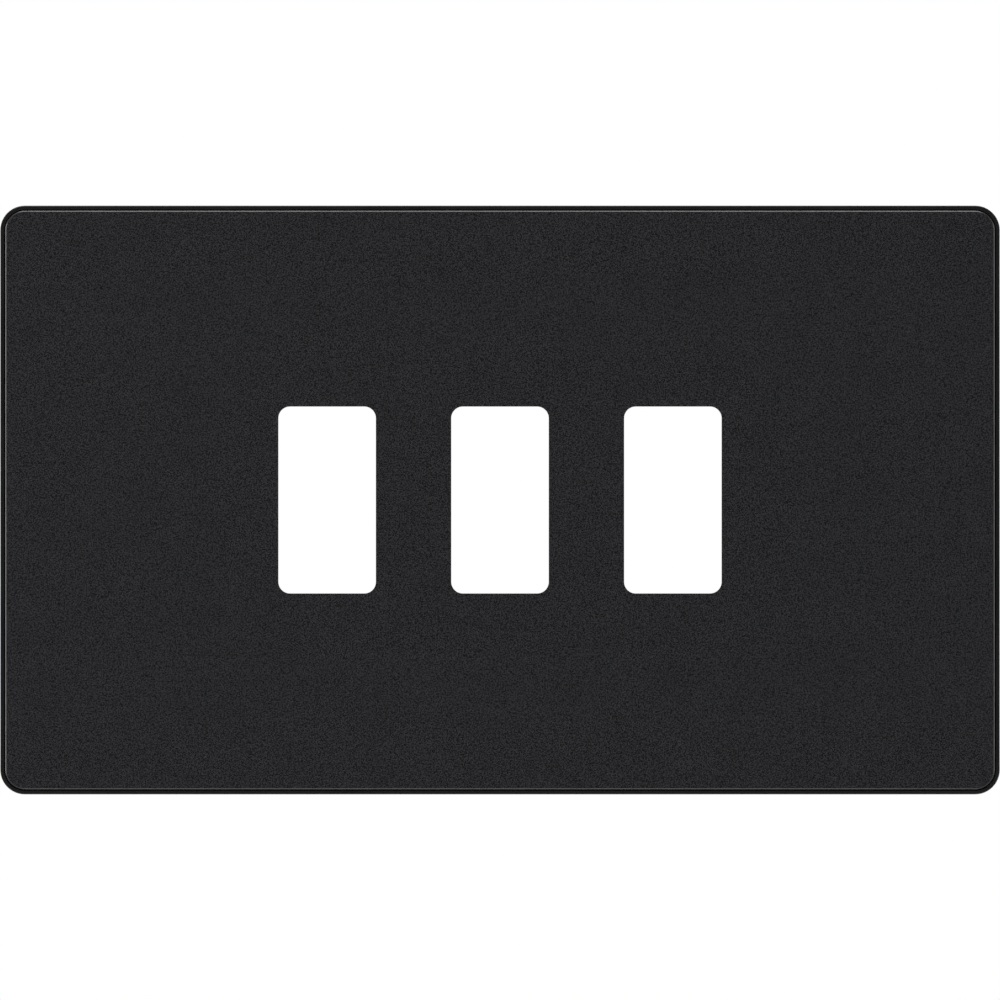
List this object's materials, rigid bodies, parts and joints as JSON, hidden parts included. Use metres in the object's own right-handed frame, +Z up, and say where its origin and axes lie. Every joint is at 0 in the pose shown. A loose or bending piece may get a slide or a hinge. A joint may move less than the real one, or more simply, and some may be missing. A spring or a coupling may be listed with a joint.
{
  "type": "wall plate cover",
  "caption": "Flat double-size wall plate with module apertures; its front clips to a slim moulded surround on a steel grid yoke.",
  "frame": {"origin": "centre of the plate on the wall plane, which is the back of the yoke and of the gasket", "axes": "+X to the right and +Z up as seen from the room, +Y into the wall; the front faces -Y"},
  "size_m": [0.146, 0.0288, 0.086],
  "materials": {
    "textured_black_coat": "matt fine-textured powder coat",
    "black_plastic": "smooth satin moulding",
    "blade_steel": "zinc plated",
    "spring_steel": "blued strip",
    "zinc_plated_steel": "bright zinc plated",
    "plated_screw_steel": "bright zinc plated",
    "rivet_steel": "as formed",
    "natural_nylon": "translucent",
    "phosphor_bronze": "rolled strip",
    "brass": "turned",
    "black_foam": "closed-cell foam"
  },
  "bodies": {
    "mounting_frame": {"surround": "black_plastic", "yoke": "zinc_plated_steel", "fixing_screw_left": "plated_screw_steel", "fixing_screw_right": "plated_screw_steel", "retaining_washer_left": "natural_nylon", "retaining_washer_right": "natural_nylon", "earth_contact_spring": "phosphor_bronze", "earth_contact_rivet": "rivet_steel", "earth_bush": "brass", "wall_gasket": "black_foam", "anti_rattle_pads": "black_foam"},
    "front_plate": {"fascia_plate": "textured_black_coat", "clip_blade_top_left": "blade_steel", "clip_blade_top_right": "blade_steel", "clip_blade_bottom_left": "blade_steel", "clip_blade_bottom_right": "blade_steel"},
    "retaining_spring_top_left": {"retaining_spring_top_left": "spring_steel"},
    "retaining_spring_top_right": {"retaining_spring_top_right": "spring_steel"},
    "retaining_spring_bottom_left": {"retaining_spring_bottom_left": "spring_steel"},
    "retaining_spring_bottom_right": {"retaining_spring_bottom_right": "spring_steel"},
    "earth_clamp": {"earth_clamp_washer": "plated_screw_steel"},
    "earth_screw": {"earth_screw": "brass"}
  },
  "joints": [
    {"name": "front_plate_pull_off", "type": "slide", "parent": "mounting_frame", "child": "front_plate", "axis": [0, -1, 0], "range_m": [0, 0.04]},
    {"name": "retaining_spring_top_left_flex", "type": "hinge", "parent": "mounting_frame", "child": "retaining_spring_top_left", "pos_m": [-0.046, -0.0019, 0.03685], "axis": [-1, 0, 0], "range_deg": [0, 8], "stiffness_Nm_per_rad": 0.46},
    {"name": "retaining_spring_top_right_flex", "type": "hinge", "parent": "mounting_frame", "child": "retaining_spring_top_right", "pos_m": [0.046, -0.0019, 0.03685], "axis": [-1, 0, 0], "range_deg": [0, 8], "stiffness_Nm_per_rad": 0.46},
    {"name": "retaining_spring_bottom_left_flex", "type": "hinge", "parent": "mounting_frame", "child": "retaining_spring_bottom_left", "pos_m": [-0.046, -0.0019, -0.03685], "axis": [1, 0, 0], "range_deg": [0, 8], "stiffness_Nm_per_rad": 0.46},
    {"name": "retaining_spring_bottom_right_flex", "type": "hinge", "parent": "mounting_frame", "child": "retaining_spring_bottom_right", "pos_m": [0.046, -0.0019, -0.03685], "axis": [1, 0, 0], "range_deg": [0, 8], "stiffness_Nm_per_rad": 0.46},
    {"name": "earth_clamp_slide", "type": "slide", "parent": "mounting_frame", "child": "earth_clamp", "axis": [0, 1, 0], "range_m": [0, 0.003]},
    {"name": "earth_screw_turn", "type": "hinge", "parent": "earth_clamp", "child": "earth_screw", "pos_m": [-0.05, 0.00325, -0.018], "axis": [0, 1, 0], "range_deg": [0, 1545]}
  ],
  "couplings": [
    {"joint": "earth_screw_turn", "follows": "earth_clamp_slide", "rad_per_m": 8976}
  ]
}
